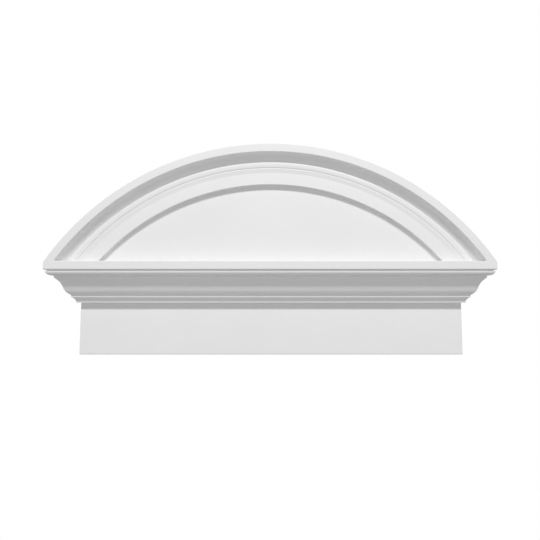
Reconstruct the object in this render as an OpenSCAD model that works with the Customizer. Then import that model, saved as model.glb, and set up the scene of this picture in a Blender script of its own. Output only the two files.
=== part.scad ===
// Segmental door pediment: one moulded piece that is fixed flat to the wall over a door.
// A plain frieze board carries a mitred cornice with side returns, and the top fascia of the
// cornice runs on round the arch as its rim. Inside the rim a stepped arch moulding frames a
// flat tympanum.
// X runs along the wall, the front faces -Y and Z is up. The wall plane is Y = 0, and Z = 0 is
// the level where the frieze meets the cornice.

/* [Frieze] */
// Width of the frieze board
frieze_w = 1105; // [900:5:1300]
// Height of the frieze board below the cornice
frieze_h = 149; // [80:1:220]
// Thickness of the frieze board, from the wall to its face
board_t = 18; // [15:1:40]

/* [Cornice, from the bottom up] */
// Flat underside in front of the frieze
soffit_front = 16; // [8:0.5:20]
// Flat underside beyond each end of the frieze
soffit_end = 6.5; // [4:0.5:12]
// Projection of the cavetto
cavetto_w = 10.5; // [7:0.5:14]
// Height of the cavetto
cavetto_h = 15.5; // [14:0.5:20]
// Height of the narrow fillet between cavetto and cyma
fillet_h = 6; // [4:0.5:9]
// Projection of the cyma recta
cyma_w = 33.5; // [26:0.5:40]
// Height of the cyma recta
cyma_h = 48.5; // [40:0.5:60]
// Swell of the cyma recta to each side of its chord
cyma_swell = 2.7; // [1:0.1:4]
// Share by which its lower bulge swells more, and its upper hollow less
cyma_skew = 0.26; // [0:0.01:0.4]
// Height of the small upright face above the cyma
upright_h = 5.5; // [4:0.5:10]
// Flat underside between the upright face and the ovolo
drip_w = 4.5; // [2:0.5:8]
// Projection of the ovolo under the fascia
ovolo_w = 12; // [8:0.5:16]
// Height of the ovolo
ovolo_h = 12; // [8:0.5:16]
// Height of the quirk between ovolo and fascia
quirk_h = 2.5; // [1.5:0.5:4]
// Depth of the quirk behind the ovolo's edge
quirk_d = 3.5; // [1:0.5:5]
// Projection of the fascia beyond the ovolo
fascia_w = 3.5; // [1:0.5:6]
// Height of the fascia
fascia_h = 25; // [18:0.5:34]

/* [Arch] */
// Height of the crown above the top of the fascia
arch_rise = 329.5; // [260:0.5:380]
// Drop from the top of the fascia to where the rim's curve meets its upright end
spring_drop = 3; // [0:0.5:8]
// Width of the rim seen from the front
rim_w = 22.9; // [16:0.1:30]
// Straight inner side of the rim, in front of the cove
rim_lip = 6; // [3:0.5:10]
// Width of the cove inside the rim
cove_w = 23; // [18:0.5:28]
// Depth of the cove behind the rim's inner side
cove_d = 20; // [16:0.5:26]
// Width of the bead's steep outer flank, which rises out of the cove
flank_w = 3.6; // [1:0.2:6]
// Width of the bead's broad inner side, which rounds down to the quirk
bead_w = 13.5; // [10:0.5:18]
// Rise of the bead over the bottom of the cove
bead_h = 7.5; // [5:0.5:9]
// Drop from the top of the bead to the edge of the splay
splay_drop = 1.5; // [0.5:0.5:2.5]
// Width of the quirk between bead and splay
arch_quirk_w = 2; // [1:0.5:4]
// Depth of the quirk below the edge of the splay
arch_quirk_d = 1; // [0.5:0.5:2]
// Width of the splay
splay_w = 12; // [8:0.5:16]
// Fall of the splay towards the band
splay_d = 2.1; // [0.5:0.1:3]
// Width of the plain archivolt band
band_w = 33.2; // [24:0.1:46]
// Step from the band back to the tympanum
step_d = 12.5; // [8:0.5:15]

/* [Hidden] */
arc_steps = 12;
ring_fn = 180;
over = 10;

// Heights above the frieze line
z_fillet = cavetto_h;
z_cyma = z_fillet + fillet_h;
z_upright = z_cyma + cyma_h;
z_drip = z_upright + upright_h;
z_quirk = z_drip + ovolo_h;
z_fascia = z_quirk + quirk_h;
z_ledge = z_fascia + fascia_h;
z_spring = z_ledge - spring_drop;
z_crown = z_ledge + arch_rise;

// Distances of the front from the wall
d_cavetto = board_t + soffit_front;
d_fillet = d_cavetto + cavetto_w;
d_upright = d_fillet + cyma_w;
d_drip = d_upright + drip_w;
d_ovolo = d_drip + ovolo_w;
d_fascia = d_ovolo + fascia_w;

// The returns have the same section, so the frieze's end lies this far out in it
end_face = d_cavetto - soffit_end;

// The rim's outer circle passes through the crown and the two springings
half_w = frieze_w / 2 + d_fascia - end_face;
sagitta = z_crown - z_spring;
rim_r = (half_w * half_w + sagitta * sagitta) / (2 * sagitta);
z_centre = z_crown - rim_r;

// Radii of the arch mouldings, from the rim inwards
r_cove = rim_r - rim_w;
r_flank = r_cove - cove_w;
r_bead = r_flank - flank_w;
r_quirk = r_bead - bead_w;
r_splay = r_quirk - arch_quirk_w;
r_band = r_splay - splay_w;
r_tympanum = r_band - band_w;

// Distances of their faces from the wall
d_lip = d_fascia - rim_lip;
d_cove = d_lip - cove_d;
d_bead = d_cove + bead_h;
d_splay = d_bead - splay_drop;
d_quirk = d_splay - arch_quirk_d;
d_band = d_splay - splay_d;
d_tympanum = d_band - step_d;

// Points of an elliptical arc about [cx, cy] from angle a0 to angle a1
function arc(cx, cy, rx, ry, a0, a1) =
    [for (i = [0:arc_steps]) let (a = a0 + (a1 - a0) * i / arc_steps)
        [cx + rx * cos(a), cy + ry * sin(a)]];

// Points of an S-shaped moulding from p to q, swelling to the right of its chord first
function cyma(p, q, swell, skew) =
    let (chord = q - p, side = [chord[1], -chord[0]] / norm(chord))
    [for (i = [0:2 * arc_steps]) let (t = i / (2 * arc_steps))
        p + chord * t + side * swell * (1 + skew * cos(180 * t)) * sin(360 * t)];

// Section of frieze and cornice: distance from the wall against height
module cornice_section(frieze_face) {
    cavetto_r = (pow(cavetto_w, 2) + pow(cavetto_h, 2)) / (2 * cavetto_w);
    cavetto_end = 180 - asin(cavetto_h / cavetto_r);
    polygon(concat(
        [[0, -frieze_h], [frieze_face, -frieze_h], [frieze_face, 0]],
        arc(d_cavetto + cavetto_r, 0, cavetto_r, cavetto_r, 180, cavetto_end),
        cyma([d_fillet, z_cyma], [d_upright, z_upright], cyma_swell, cyma_skew),
        [[d_upright, z_drip]],
        arc(d_drip, z_quirk, ovolo_w, ovolo_h, -90, 0),
        [[d_ovolo - quirk_d, z_quirk], [d_ovolo - quirk_d, z_fascia + over]],
        [[0, z_fascia + over]]));
}

// Frieze and cornice with mitred returns: the section seen from the end meets the outline
// seen from the front, which is the same section at both ends
module frieze_and_cornice() {
    intersection() {
        translate([-half_w, 0, 0])
            rotate([90, 0, 90])
                mirror([1, 0, 0])
                    linear_extrude(2 * half_w)
                        cornice_section(board_t);
        rotate([90, 0, 0])
            linear_extrude(d_fascia)
                for (end = [0, 1])
                    mirror([end, 0, 0])
                        translate([half_w - d_fascia, 0])
                            union() {
                                cornice_section(end_face);
                                translate([d_fascia - half_w, -frieze_h])
                                    square([half_w - d_fascia + board_t, frieze_h + z_fascia + over]);
                            }
    }
}

// Fascia and arched plate in one outline: the rim's circle cut off at both ends
module plate() {
    rotate([90, 0, 0])
        linear_extrude(d_fascia)
            intersection() {
                translate([-half_w, z_fascia])
                    square([2 * half_w, z_crown - z_fascia]);
                translate([0, z_centre])
                    circle(r = rim_r, $fn = ring_fn);
            }
}

// Section of the hollow in front of the arch mouldings: radius against distance from the wall
module hollow_section() {
    polygon(concat(
        [[0, d_tympanum], [r_tympanum, d_tympanum], [r_tympanum, d_band], [r_band, d_band]],
        [[r_splay, d_splay], [r_splay, d_quirk]],
        arc(r_bead, d_quirk, bead_w, d_bead - d_quirk, 180, 90),
        arc(r_bead, d_cove, flank_w, d_bead - d_cove, 90, 0),
        arc(r_flank, d_lip, cove_w, cove_d, -90, 0),
        [[r_cove, d_fascia + over], [0, d_fascia + over]]));
}

// The hollow stops at the flat top of the fascia
module hollow() {
    intersection() {
        translate([0, 0, z_centre])
            rotate([90, 0, 0])
                rotate_extrude($fn = ring_fn)
                    hollow_section();
        translate([-half_w, -d_fascia - over, z_ledge])
            cube([2 * half_w, d_fascia + over, arch_rise]);
    }
}

module pediment() {
    color("white")
        difference() {
            union() {
                frieze_and_cornice();
                plate();
            }
            hollow();
        }
}

pediment();
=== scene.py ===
from math import asin, atan2, cos, degrees, hypot, pi, radians, sin, sqrt, tan

import bpy
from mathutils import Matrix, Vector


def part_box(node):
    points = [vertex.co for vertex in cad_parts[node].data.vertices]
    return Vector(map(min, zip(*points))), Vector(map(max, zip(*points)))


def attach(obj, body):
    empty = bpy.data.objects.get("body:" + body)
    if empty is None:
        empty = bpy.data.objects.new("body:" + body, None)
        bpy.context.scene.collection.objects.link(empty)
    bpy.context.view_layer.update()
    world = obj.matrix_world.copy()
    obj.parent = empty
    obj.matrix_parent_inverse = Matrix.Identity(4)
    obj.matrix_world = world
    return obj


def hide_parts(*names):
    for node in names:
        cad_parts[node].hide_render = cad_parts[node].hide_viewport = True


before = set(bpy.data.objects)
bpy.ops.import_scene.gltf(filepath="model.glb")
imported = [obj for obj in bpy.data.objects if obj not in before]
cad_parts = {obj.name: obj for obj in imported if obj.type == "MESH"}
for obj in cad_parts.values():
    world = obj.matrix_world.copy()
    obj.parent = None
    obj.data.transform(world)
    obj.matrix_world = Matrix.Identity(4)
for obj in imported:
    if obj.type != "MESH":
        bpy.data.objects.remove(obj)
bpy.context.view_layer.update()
bpy.ops.object.select_all(action="DESELECT")

# ---- The moulding: frieze and cornice --------------------------------------------------------
# The real pediment leaves its mould in one piece: rigid foam with a dense, primed white skin.
# Its frieze board and cornice are one run of mouldings that turns back to the wall at each
# end, so every level of the profile is a rectangle that steps out over the one below.

node_low, node_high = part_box("pediment")
half_w = node_high.x
depth = -node_low.y
foot = node_low.z
crown = node_high.z

board_t = 0.018
soffit_front = 0.016
soffit_end = 0.0065
cavetto_w = 0.0105
cavetto_h = 0.0155
fillet_h = 0.006
cyma_w = 0.0335
cyma_h = 0.0485
cyma_swell = 0.0027
cyma_skew = 0.26
upright_h = 0.0055
drip_w = 0.0045
ovolo_w = 0.012
ovolo_h = 0.012
quirk_h = 0.0025
quirk_d = 0.0035

# How round the mould leaves each arris, the margins at both ends of the profile, and how close
# a point has to lie to a plane to count as on it.
foot_r = 0.0025
soffit_back_r = 0.0012
soffit_edge_r = 0.0010
fillet_foot_r = 0.0009
fillet_top_r = 0.0006
upright_foot_r = 0.0007
upright_top_r = 0.0010
quirk_edge_r = 0.0005
mitre_r = 0.0012
foot_strip = 0.004
tuck = 0.006
touch = 1e-5

cavetto_d = board_t + soffit_front
fillet_d = cavetto_d + cavetto_w
upright_d = fillet_d + cyma_w
drip_d = upright_d + drip_w
ovolo_d = drip_d + ovolo_w
cyma_z = cavetto_h + fillet_h
upright_z = cyma_z + cyma_h
drip_z = upright_z + upright_h
quirk_z = drip_z + ovolo_h
fascia_z = quirk_z + quirk_h
frieze_half = half_w - (depth - cavetto_d) - soffit_end


def arc(cx, cy, rx, ry, start, end, steps):
    """Points of an elliptical arc, with its angles in degrees."""
    turns = [radians(start + (end - start) * i / steps) for i in range(steps + 1)]
    return [(cx + rx * cos(t), cy + ry * sin(t)) for t in turns]


def s_curve(start, end, swell, skew, steps):
    """Points of a cyma that swells to the right of its chord first and then to the left."""
    run, rise = end[0] - start[0], end[1] - start[1]
    length = hypot(run, rise)
    points = []
    for i in range(steps + 1):
        t = i / steps
        out = swell * (1 + skew * cos(pi * t)) * sin(2 * pi * t) / length
        points.append((start[0] + run * t + rise * out, start[1] + rise * t - run * out))
    return points


def soft_corner(before, corner, after, radius, steps=4):
    """Points of the small round that takes the place of a sharp corner."""
    a = (before[0] - corner[0], before[1] - corner[1])
    b = (after[0] - corner[0], after[1] - corner[1])
    a = (a[0] / hypot(*a), a[1] / hypot(*a))
    b = (b[0] / hypot(*b), b[1] / hypot(*b))
    half = atan2(abs(a[0] * b[1] - a[1] * b[0]), a[0] * b[0] + a[1] * b[1]) / 2
    middle = (a[0] + b[0], a[1] + b[1])
    reach = radius / sin(half) / hypot(*middle)
    centre = (corner[0] + middle[0] * reach, corner[1] + middle[1] * reach)
    cut = radius / tan(half)
    first = atan2(corner[1] + a[1] * cut - centre[1], corner[0] + a[0] * cut - centre[0])
    last = atan2(corner[1] + b[1] * cut - centre[1], corner[0] + b[0] * cut - centre[0])
    sweep = (last - first + pi) % (2 * pi) - pi
    turns = [first + sweep * k / steps for k in range(steps + 1)]
    return [(centre[0] + radius * cos(t), centre[1] + radius * sin(t)) for t in turns]


def soften(outline, corners):
    """Rounds an open outline at the corners named as {index: radius}."""
    points = []
    for i, point in enumerate(outline):
        if i in corners:
            points += soft_corner(outline[i - 1], point, outline[i + 1], corners[i])
        else:
            points.append(point)
    return points


def cornice_profile():
    """Distance from the wall against height, from the foot of the frieze up into the fascia.

    It starts with a strip of the underside, so that the foot has its soft arris, and ends
    tucked into the fascia, which covers the joint.
    """
    cavetto_r = (cavetto_w**2 + cavetto_h**2) / (2 * cavetto_w)
    cavetto_end = 180 - degrees(asin(cavetto_h / cavetto_r))
    cavetto_x = cavetto_d + cavetto_r
    cavetto = arc(cavetto_x, 0, cavetto_r, cavetto_r, 180, cavetto_end, steps=12)
    cyma = s_curve(
        (fillet_d, cyma_z), (upright_d, upright_z), swell=cyma_swell, skew=cyma_skew, steps=28
    )
    ovolo = arc(drip_d, quirk_z, ovolo_w, ovolo_h, -90, 0, steps=14)
    board = [(board_t - foot_strip, foot), (board_t, foot), (board_t, 0)]
    quirk = [(ovolo_d - quirk_d, quirk_z), (ovolo_d - quirk_d, fascia_z + tuck)]
    outline = board + cavetto + cyma + [(upright_d, drip_z)] + ovolo + quirk
    board_foot, board_top = 1, 2
    soffit_edge = len(board)
    fillet_foot = len(board + cavetto) - 1
    fillet_top = fillet_foot + 1
    upright_foot = fillet_foot + len(cyma)
    upright_top = upright_foot + 1
    quirk_edge = upright_top + len(ovolo)
    corners = {
        board_foot: foot_r,
        board_top: soffit_back_r,
        soffit_edge: soffit_edge_r,
        fillet_foot: fillet_foot_r,
        fillet_top: fillet_top_r,
        upright_foot: upright_foot_r,
        upright_top: upright_top_r,
        quirk_edge: quirk_edge_r,
    }
    return soften(outline, corners)


def select_edges(piece, wanted):
    """Selects the edges of a piece whose two ends pass a test, and leaves it in edit mode."""
    bpy.ops.object.mode_set(mode="EDIT")
    bpy.ops.mesh.select_mode(type="EDGE")
    bpy.ops.mesh.select_all(action="DESELECT")
    bpy.ops.object.mode_set(mode="OBJECT")
    spots = [v.co for v in piece.data.vertices]
    for edge in piece.data.edges:
        edge.select = wanted(spots[edge.vertices[0]], spots[edge.vertices[1]])
    bpy.ops.object.mode_set(mode="EDIT")


def half_width(d):
    """Half the width of the level whose front lies this far from the wall."""
    past_face = d - board_t
    if past_face < 0:
        return frieze_half + past_face
    if past_face < soffit_front:
        return frieze_half + past_face * soffit_end / soffit_front
    return frieze_half + soffit_end + past_face - soffit_front


profile = cornice_profile()
start_d, start_z = profile[0]
bpy.ops.mesh.primitive_plane_add(size=1)
moulding = bpy.context.object
moulding.name = "pediment_moulding"
bpy.ops.object.mode_set(mode="EDIT")
bpy.ops.transform.resize(value=(2 * half_width(start_d), start_d, 1))
bpy.ops.transform.translate(value=(0, -start_d / 2, start_z))
for (d, z), (next_d, next_z) in zip(profile, profile[1:]):
    wider = half_width(next_d) / half_width(d)
    bpy.ops.mesh.extrude_region_move(TRANSFORM_OT_translate={"value": (0, 0, next_z - z)})
    bpy.ops.transform.resize(
        value=(wider, next_d / d, 1), center_override=(0, 0, next_z)
    )

# The mitred arrises are a little soft, as the mould leaves them.
select_edges(moulding, lambda a, b: max(a.y, b.y) < -touch and a.x * b.x > 0)
bpy.ops.mesh.bevel(offset=mitre_r, segments=3, affect="EDGES")
bpy.ops.mesh.select_all(action="SELECT")
bpy.ops.mesh.normals_make_consistent(inside=False)
bpy.ops.object.mode_set(mode="OBJECT")

# ---- The moulding: fascia and arched plate ---------------------------------------------------
# The fascia is the top of the cornice and the foot of a plate whose upper edge is the arch.
# It comes out of the same mould, with soft arrises all round its front.

fascia_h = 0.025
spring_drop = 0.003
corner_r = 0.006
arris_r = 0.0015
fascia_arris_r = 0.004
arch_steps = 144
ledge_z = fascia_z + fascia_h
spring_z = ledge_z - spring_drop
sagitta = crown - spring_z
rim_r = (half_w**2 + sagitta**2) / (2 * sagitta)
centre_z = crown - rim_r
corner_x = half_w - corner_r
corner_z = centre_z + sqrt((rim_r - corner_r) ** 2 - corner_x**2)
spoke = degrees(atan2(corner_z - centre_z, corner_x))


def draw_face(name, points):
    """Draws an outline vertex by vertex, fills it and leaves it selected in edit mode."""
    bpy.ops.mesh.primitive_plane_add(size=0.001)
    piece = bpy.context.object
    piece.name = name
    bpy.ops.object.mode_set(mode="EDIT")
    bpy.ops.mesh.select_mode(type="VERT")
    bpy.ops.mesh.select_all(action="SELECT")
    bpy.ops.mesh.merge(type="CENTER")
    bpy.ops.transform.translate(value=points[0])
    for here, there in zip(points, points[1:]):
        step = [b - a for a, b in zip(here, there)]
        bpy.ops.mesh.extrude_vertices_move(TRANSFORM_OT_translate={"value": step})
    bpy.ops.mesh.select_all(action="SELECT")
    bpy.ops.mesh.edge_face_add()
    return piece


right_corner = arc(corner_x, corner_z, corner_r, corner_r, 0, spoke, steps=8)
arch = arc(0, centre_z, rim_r, rim_r, spoke, 180 - spoke, steps=arch_steps)
left_corner = [(-x, z) for x, z in reversed(right_corner)]
outline = [(-half_w, fascia_z), (half_w, fascia_z)]
outline += right_corner + arch[1:-1] + left_corner
plate = draw_face("plate", [(x, 0, z) for x, z in outline])
bpy.ops.mesh.extrude_region_move(TRANSFORM_OT_translate={"value": (0, -depth, 0)})
bpy.ops.mesh.select_all(action="SELECT")
bpy.ops.mesh.normals_make_consistent(inside=False)


def round_below(a, b):
    """The fascia's lower edges, along its front and back to the wall at both ends."""
    lowest = max(a.z, b.z) < fascia_z + touch
    front = max(a.y, b.y) < -depth + touch
    end = min(a.y, b.y) < -depth + touch and a.x * b.x > 0
    return lowest and (front or end)


def round_front(a, b):
    """The other front edges: up the fascia's ends and along the arch."""
    front = max(a.y, b.y) < -depth + touch
    return front and max(a.z, b.z) > fascia_z + fascia_arris_r + touch


select_edges(plate, round_below)
bpy.ops.mesh.bevel(offset=fascia_arris_r, segments=6, affect="EDGES")
select_edges(plate, round_front)
bpy.ops.mesh.bevel(offset=arris_r, segments=4, affect="EDGES")
bpy.ops.object.mode_set(mode="OBJECT")

# ---- The moulding: the hollow inside the rim -------------------------------------------------
# Inside the rim the mould sinks in steps: cove, bead, quirk, splay, plain band and tympanum. All
# of them follow the arch and run down to the flat top of the fascia.

rim_w = 0.0229
rim_lip = 0.006
cove_w = 0.023
cove_d = 0.020
flank_w = 0.0036
bead_w = 0.0135
bead_h = 0.0075
splay_drop = 0.0015
arch_quirk_w = 0.002
arch_quirk_d = 0.001
splay_w = 0.012
splay_d = 0.0021
band_w = 0.0332
step_d = 0.0125
ledge_r = 0.002
lip_r = 0.0025
tympanum_edge_r = 0.0012
band_edge_r = 0.0010
band_out_r = 0.006
splay_edge_r = 0.0006
clear = 0.010
half_turn = 62

r_cove = rim_r - rim_w
r_flank = r_cove - cove_w
r_bead = r_flank - flank_w
r_quirk = r_bead - bead_w
r_splay = r_quirk - arch_quirk_w
r_band = r_splay - splay_w
r_tympanum = r_band - band_w
r_inside = ledge_z - centre_z - clear
lip = depth - rim_lip
cove = lip - cove_d
bead_top = cove + bead_h
splay = bead_top - splay_drop
quirk = splay - arch_quirk_d
band = splay - splay_d
tympanum = band - step_d


def hollow_section():
    """Radius against distance from the wall, from the tympanum out over the rim's arris."""
    inner = [(r_inside, tympanum), (r_tympanum, tympanum), (r_tympanum, band)]
    slope = [(r_band, band), (r_splay, splay), (r_splay, quirk)]
    bead_in = arc(r_bead, quirk, bead_w, bead_top - quirk, 180, 90, steps=10)
    bead_out = arc(r_bead, cove, flank_w, bead_top - cove, 90, 0, steps=10)
    big_cove = arc(r_flank, lip, cove_w, cove_d, -90, 0, steps=20)
    arris = arc(r_cove + lip_r, depth - lip_r, lip_r, lip_r, 180, 90, steps=6)
    run_out = (arris[-1][0] * 2 - arris[-2][0], arris[-1][1] * 2 - arris[-2][1])
    outline = inner + slope + bead_in + bead_out[1:] + big_cove[1:] + arris
    outline += [run_out, (run_out[0], depth + clear), (r_inside, depth + clear)]
    # The corners that follow the start, one after the other.
    radii = (tympanum_edge_r, band_edge_r, band_out_r, splay_edge_r)
    return soften(outline, dict(enumerate(radii, start=1)))


def cut(piece, tool, operation):
    """Joins, cuts or trims a piece with another solid, which is used up."""
    bpy.ops.object.select_all(action="DESELECT")
    bpy.context.view_layer.objects.active = piece
    piece.select_set(True)
    change = piece.modifiers.new("cut", "BOOLEAN")
    change.operation = operation
    change.solver = "EXACT"
    change.object = tool
    bpy.ops.object.modifier_apply(modifier=change.name)
    bpy.data.objects.remove(tool)


# The section starts beyond one springing and is spun round the arch's centre past the other.
across, up = sin(radians(half_turn)), cos(radians(half_turn))
section = [(-r * across, -d, centre_z + r * up) for r, d in hollow_section()]
hollow = draw_face("hollow", section)
bpy.ops.mesh.spin(
    steps=arch_steps, angle=radians(2 * half_turn), center=(0, 0, centre_z), axis=(0, -1, 0)
)
bpy.ops.mesh.select_all(action="SELECT")
bpy.ops.mesh.remove_doubles(threshold=1e-6)
bpy.ops.mesh.normals_make_consistent(inside=False)
bpy.ops.object.mode_set(mode="OBJECT")

# Only what lies above the ledge is kept of it, and the ledge's own arris is soft as well.
ledge_arris = arc(-depth + ledge_r, ledge_z - ledge_r, ledge_r, ledge_r, 90, 180, steps=6)
slope_out = tuple(2 * b - a for a, b in zip(ledge_arris[-2], ledge_arris[-1]))
room_end = [(-tympanum + clear, ledge_z)] + ledge_arris + [slope_out]
room_end += [(-depth - 2 * clear, slope_out[1]), (-depth - 2 * clear, crown)]
room_end += [(-tympanum + clear, crown)]
side_x = half_w + clear
room = draw_face("room_over_ledge", [(-side_x, y, z) for y, z in room_end])
bpy.ops.mesh.extrude_region_move(TRANSFORM_OT_translate={"value": (2 * side_x, 0, 0)})
bpy.ops.mesh.select_all(action="SELECT")
bpy.ops.mesh.normals_make_consistent(inside=False)
bpy.ops.object.mode_set(mode="OBJECT")

cut(hollow, room, "INTERSECT")
cut(plate, hollow, "DIFFERENCE")
cut(moulding, plate, "UNION")

# What is left of each cut is merged, and the rounds are smooth while flat faces stay flat.
bpy.ops.object.mode_set(mode="EDIT")
bpy.ops.mesh.select_all(action="SELECT")
bpy.ops.mesh.remove_doubles(threshold=1e-5)
bpy.ops.mesh.normals_make_consistent(inside=False)
bpy.ops.object.mode_set(mode="OBJECT")
bpy.ops.object.shade_smooth_by_angle(angle=radians(32))
even = moulding.modifiers.new("even_normals", "WEIGHTED_NORMAL")
even.keep_sharp = True
bpy.ops.object.modifier_apply(modifier=even.name)

# ---- Finish ----------------------------------------------------------------------------------
# The front is the primed skin that the mould gives: matt white, very slightly wavy, with a fine
# grain and a few pinholes, each painted a little darker as painted shade in the pit. The back
# was trimmed flat, so it shows the cream foam and its pores, which are painted darker as painted
# shade inside them.

primer_light = (0.870, 0.870, 0.870)
primer_dark = (0.835, 0.835, 0.835)
primer_relief = 0.00025
foam_light = (0.80, 0.77, 0.68)
foam_dark = (0.60, 0.55, 0.43)
foam_relief = 0.0005


def blob_noise(tree, place, scale, detail):
    """A noise texture in the piece's own coordinates."""
    noise = tree.nodes.new("ShaderNodeTexNoise")
    noise.inputs["Scale"].default_value = scale
    noise.inputs["Detail"].default_value = detail
    tree.links.new(place, noise.inputs["Vector"])
    return noise.outputs["Fac"]


def spread(tree, value, low, high, from_low=0.3, from_high=0.7):
    """Stretches a texture's middle range over the wanted values."""
    node = tree.nodes.new("ShaderNodeMapRange")
    node.inputs["From Min"].default_value = from_low
    node.inputs["From Max"].default_value = from_high
    node.inputs["To Min"].default_value = low
    node.inputs["To Max"].default_value = high
    tree.links.new(value, node.inputs["Value"])
    return node.outputs["Result"]


def total(tree, *values):
    """Adds up several values."""
    result = values[0]
    for value in values[1:]:
        node = tree.nodes.new("ShaderNodeMath")
        node.operation = "ADD"
        tree.links.new(result, node.inputs[0])
        tree.links.new(value, node.inputs[1])
        result = node.outputs[0]
    return result


def pore_group():
    """Small round pits scattered over a surface, as a mask that is 1 in each pit's middle."""
    group = bpy.data.node_groups.new("pores", "ShaderNodeTree")
    face = group.interface
    face.new_socket("Place", in_out="INPUT", socket_type="NodeSocketVector")
    face.new_socket("Per metre", in_out="INPUT", socket_type="NodeSocketFloat")
    face.new_socket("Size", in_out="INPUT", socket_type="NodeSocketFloat")
    face.new_socket("Share", in_out="INPUT", socket_type="NodeSocketFloat")
    face.new_socket("Pit", in_out="OUTPUT", socket_type="NodeSocketFloat")
    start = group.nodes.new("NodeGroupInput")
    cells = group.nodes.new("ShaderNodeTexVoronoi")
    cells.feature = "F1"
    group.links.new(start.outputs["Place"], cells.inputs["Vector"])
    group.links.new(start.outputs["Per metre"], cells.inputs["Scale"])
    chance = group.nodes.new("ShaderNodeSeparateColor")
    group.links.new(cells.outputs["Color"], chance.inputs["Color"])
    chosen = group.nodes.new("ShaderNodeMath")
    chosen.operation = "LESS_THAN"
    group.links.new(chance.outputs["Red"], chosen.inputs[0])
    group.links.new(start.outputs["Share"], chosen.inputs[1])
    pit = group.nodes.new("ShaderNodeMapRange")
    pit.interpolation_type = "SMOOTHSTEP"
    pit.inputs["From Min"].default_value = 0
    pit.inputs["To Min"].default_value = 1
    pit.inputs["To Max"].default_value = 0
    group.links.new(cells.outputs["Distance"], pit.inputs["Value"])
    group.links.new(start.outputs["Size"], pit.inputs["From Max"])
    both = group.nodes.new("ShaderNodeMath")
    both.operation = "MULTIPLY"
    group.links.new(pit.outputs["Result"], both.inputs[0])
    group.links.new(chosen.outputs[0], both.inputs[1])
    end = group.nodes.new("NodeGroupOutput")
    group.links.new(both.outputs[0], end.inputs["Pit"])
    return group


pores = pore_group()


def scatter_pores(tree, place, per_metre, size, share):
    """Pits in a given share of the cells, with their size as a share of a cell."""
    node = tree.nodes.new("ShaderNodeGroup")
    node.node_tree = pores
    node.inputs["Per metre"].default_value = per_metre
    node.inputs["Size"].default_value = size
    node.inputs["Share"].default_value = share
    tree.links.new(place, node.inputs["Place"])
    return node.outputs["Pit"]


def tint(tree, factor, light, dark):
    """Goes from one colour to another with a mask."""
    node = tree.nodes.new("ShaderNodeMix")
    node.data_type = "RGBA"
    node.inputs["A"].default_value = (*light, 1)
    node.inputs["B"].default_value = (*dark, 1)
    tree.links.new(factor, node.inputs["Factor"])
    return node.outputs["Result"]


def new_finish(name):
    """An empty material with its place in the piece's own coordinates."""
    finish = bpy.data.materials.new(name)
    finish.use_nodes = True
    tree = finish.node_tree
    place = tree.nodes.new("ShaderNodeTexCoord").outputs["Object"]
    return finish, tree, tree.nodes["Principled BSDF"], place


def raise_surface(tree, shader, height, distance):
    """Gives the surface a fine relief, which stands out by this distance at full height."""
    bump = tree.nodes.new("ShaderNodeBump")
    bump.inputs["Strength"].default_value = 1
    bump.inputs["Distance"].default_value = distance
    tree.links.new(height, bump.inputs["Height"])
    tree.links.new(bump.outputs["Normal"], shader.inputs["Normal"])


def primed_skin():
    """The white primer on the dense skin of the foam."""
    finish, tree, shader, place = new_finish("primed_skin")
    cloud = blob_noise(tree, place, scale=5, detail=3)
    mottle = blob_noise(tree, place, scale=45, detail=4)
    wave = blob_noise(tree, place, scale=16, detail=1)
    grain = blob_noise(tree, place, scale=420, detail=3)
    pit = scatter_pores(tree, place, per_metre=42, size=0.028, share=0.10)
    # The clouds and mottling are the primer's own uneven tone; the pinholes add painted shade,
    # darker in each pit's middle.
    stain_and_pit_shade = total(
        tree,
        spread(tree, cloud, 0, 0.5),
        spread(tree, mottle, 0, 0.3),
        spread(tree, pit, 0, 2, from_low=0, from_high=1),
    )
    colour = tint(tree, stain_and_pit_shade, primer_light, primer_dark)
    tree.links.new(colour, shader.inputs["Base Color"])
    tree.links.new(spread(tree, mottle, 0.46, 0.58), shader.inputs["Roughness"])
    height = total(
        tree,
        spread(tree, wave, 0, 0.5),
        spread(tree, grain, 0, 0.12),
        spread(tree, pit, 0, -0.8, from_low=0, from_high=1),
    )
    raise_surface(tree, shader, height, primer_relief)
    return finish


def trimmed_foam():
    """The open cells of the foam where the back was trimmed."""
    finish, tree, shader, place = new_finish("trimmed_foam")
    cloud = blob_noise(tree, place, scale=4, detail=3)
    grain = blob_noise(tree, place, scale=700, detail=2)
    fine = scatter_pores(tree, place, per_metre=520, size=0.33, share=0.55)
    large = scatter_pores(tree, place, per_metre=70, size=0.10, share=0.35)
    # The clouds are the foam's own uneven tone; the pores add painted shade, darker inside each
    # open cell.
    tone_and_pore_shade = total(
        tree,
        spread(tree, cloud, 0, 0.4),
        spread(tree, fine, 0, 0.3, from_low=0, from_high=1),
        spread(tree, large, 0, 0.5, from_low=0, from_high=1),
    )
    colour = tint(tree, tone_and_pore_shade, foam_light, foam_dark)
    tree.links.new(colour, shader.inputs["Base Color"])
    shader.inputs["Roughness"].default_value = 0.85
    height = total(
        tree,
        spread(tree, grain, 0, 0.2),
        spread(tree, fine, 0, -0.4, from_low=0, from_high=1),
        spread(tree, large, 0, -1, from_low=0, from_high=1),
    )
    raise_surface(tree, shader, height, foam_relief)
    return finish


moulding.data.materials.clear()
moulding.data.materials.append(primed_skin())
moulding.data.materials.append(trimmed_foam())
for face in moulding.data.polygons:
    faces_wall = face.normal.y > 0.99
    if faces_wall and face.center.y > -touch:
        face.material_index = 1

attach(moulding, "root")
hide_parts("pediment")

# ---- Studio ----------------------------------------------------------------------------------
# The pediment is shown as it hangs, with its foot about two metres above a plain pale floor. A
# long lamp high in front gives the shadows, and a dim room with soft glows fills them.

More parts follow.
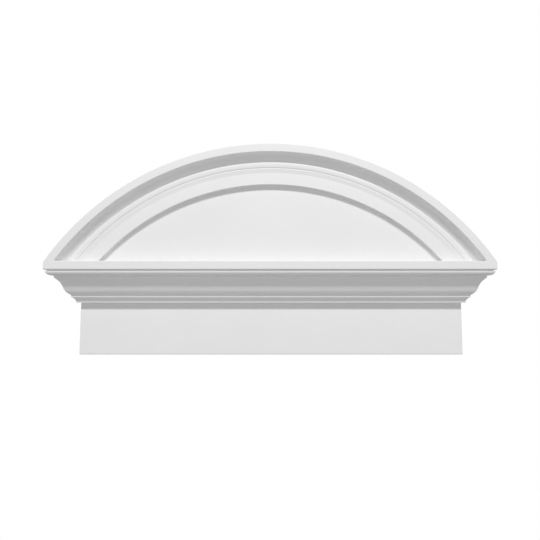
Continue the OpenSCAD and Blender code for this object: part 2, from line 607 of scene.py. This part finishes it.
floor_size = 3
floor_drop = 2.05
bpy.ops.mesh.primitive_plane_add(size=floor_size, location=(0, 0, foot - floor_drop))
floor = bpy.context.object
floor.name = "floor"
floor_paint = bpy.data.materials.new("floor_paint")
floor_paint.use_nodes = True
floor_shader = floor_paint.node_tree.nodes["Principled BSDF"]
floor_shader.inputs["Base Color"].default_value = (0.8, 0.8, 0.8, 1)
floor_shader.inputs["Roughness"].default_value = 0.7
floor.data.materials.append(floor_paint)

# The room is evenly dim, with a soft glow from in front, one from low in front, and one from
# behind that reaches only the back. To the camera the room looks white.
room_level = 0.12
glow_focus = 3
glows = (((0.04, -1, 0), 0.53), ((0, -1, -1), 0.30), ((0, 1, 0), 0.8))
world = bpy.data.worlds.new("studio")
world.use_nodes = True
bpy.context.scene.world = world
sky = world.node_tree
sky.nodes.clear()
direction = sky.nodes.new("ShaderNodeTexCoord")
glow = None
for towards, strength in glows:
    length = hypot(*towards)
    facing = sky.nodes.new("ShaderNodeVectorMath")
    facing.operation = "DOT_PRODUCT"
    facing.inputs[1].default_value = [part / length for part in towards]
    sky.links.new(direction.outputs["Generated"], facing.inputs[0])
    one_side = sky.nodes.new("ShaderNodeMath")
    one_side.operation = "MAXIMUM"
    one_side.inputs[1].default_value = 0
    sky.links.new(facing.outputs["Value"], one_side.inputs[0])
    narrow = sky.nodes.new("ShaderNodeMath")
    narrow.operation = "POWER"
    narrow.inputs[1].default_value = glow_focus
    sky.links.new(one_side.outputs[0], narrow.inputs[0])
    added = sky.nodes.new("ShaderNodeMath")
    added.operation = "MULTIPLY_ADD"
    added.inputs[1].default_value = strength
    added.inputs[2].default_value = room_level
    sky.links.new(narrow.outputs[0], added.inputs[0])
    if glow is not None:
        sky.links.new(glow, added.inputs[2])
    glow = added.outputs[0]
soft = sky.nodes.new("ShaderNodeBackground")
sky.links.new(glow, soft.inputs["Color"])
white = sky.nodes.new("ShaderNodeBackground")
white.inputs["Color"].default_value = (1, 1, 1, 1)
seen = sky.nodes.new("ShaderNodeLightPath")
either = sky.nodes.new("ShaderNodeMixShader")
sky.links.new(seen.outputs["Is Camera Ray"], either.inputs["Fac"])
sky.links.new(soft.outputs["Background"], either.inputs[1])
sky.links.new(white.outputs["Background"], either.inputs[2])
out = sky.nodes.new("ShaderNodeOutputWorld")
sky.links.new(either.outputs["Shader"], out.inputs["Surface"])

# The main lamp is a strip along the wall; a weak one of the same size stands to its right. Both
# are aimed at the height of the fascia.
lamp_length = 2.5
lamp_width = 0.8
lamp_away = 6
lamp_rise = radians(50.5)
lamp_aim_z = 0.1
lamp_y = -depth - lamp_away * cos(lamp_rise)
lamp_z = lamp_aim_z + lamp_away * sin(lamp_rise)
for name, lamp_x, power in (("main_lamp", 0, 256), ("side_lamp", 3.1, 28)):
    bpy.ops.object.light_add(
        type="AREA", location=(lamp_x, lamp_y, lamp_z), rotation=(pi / 2 - lamp_rise, 0, 0)
    )
    lamp = bpy.context.object
    lamp.name = name
    lamp.data.shape = "RECTANGLE"
    lamp.data.size = lamp_length
    lamp.data.size_y = lamp_width
    lamp.data.energy = power

# The camera stands level with the underside of the cornice, a little right of the centre line,
# and looks up slightly.
stand_off = 1.2663
stand_right = 0.047
look_up = radians(4.366)
bpy.ops.object.camera_add(
    location=(stand_right, -stand_off, 0), rotation=(pi / 2 + look_up, 0, 0)
)
camera = bpy.context.object
camera.data.sensor_width = 36
camera.data.lens = 28.5333
camera.data.shift_x = -0.032
bpy.context.scene.camera = camera
bpy.context.scene.view_settings.view_transform = "Standard"
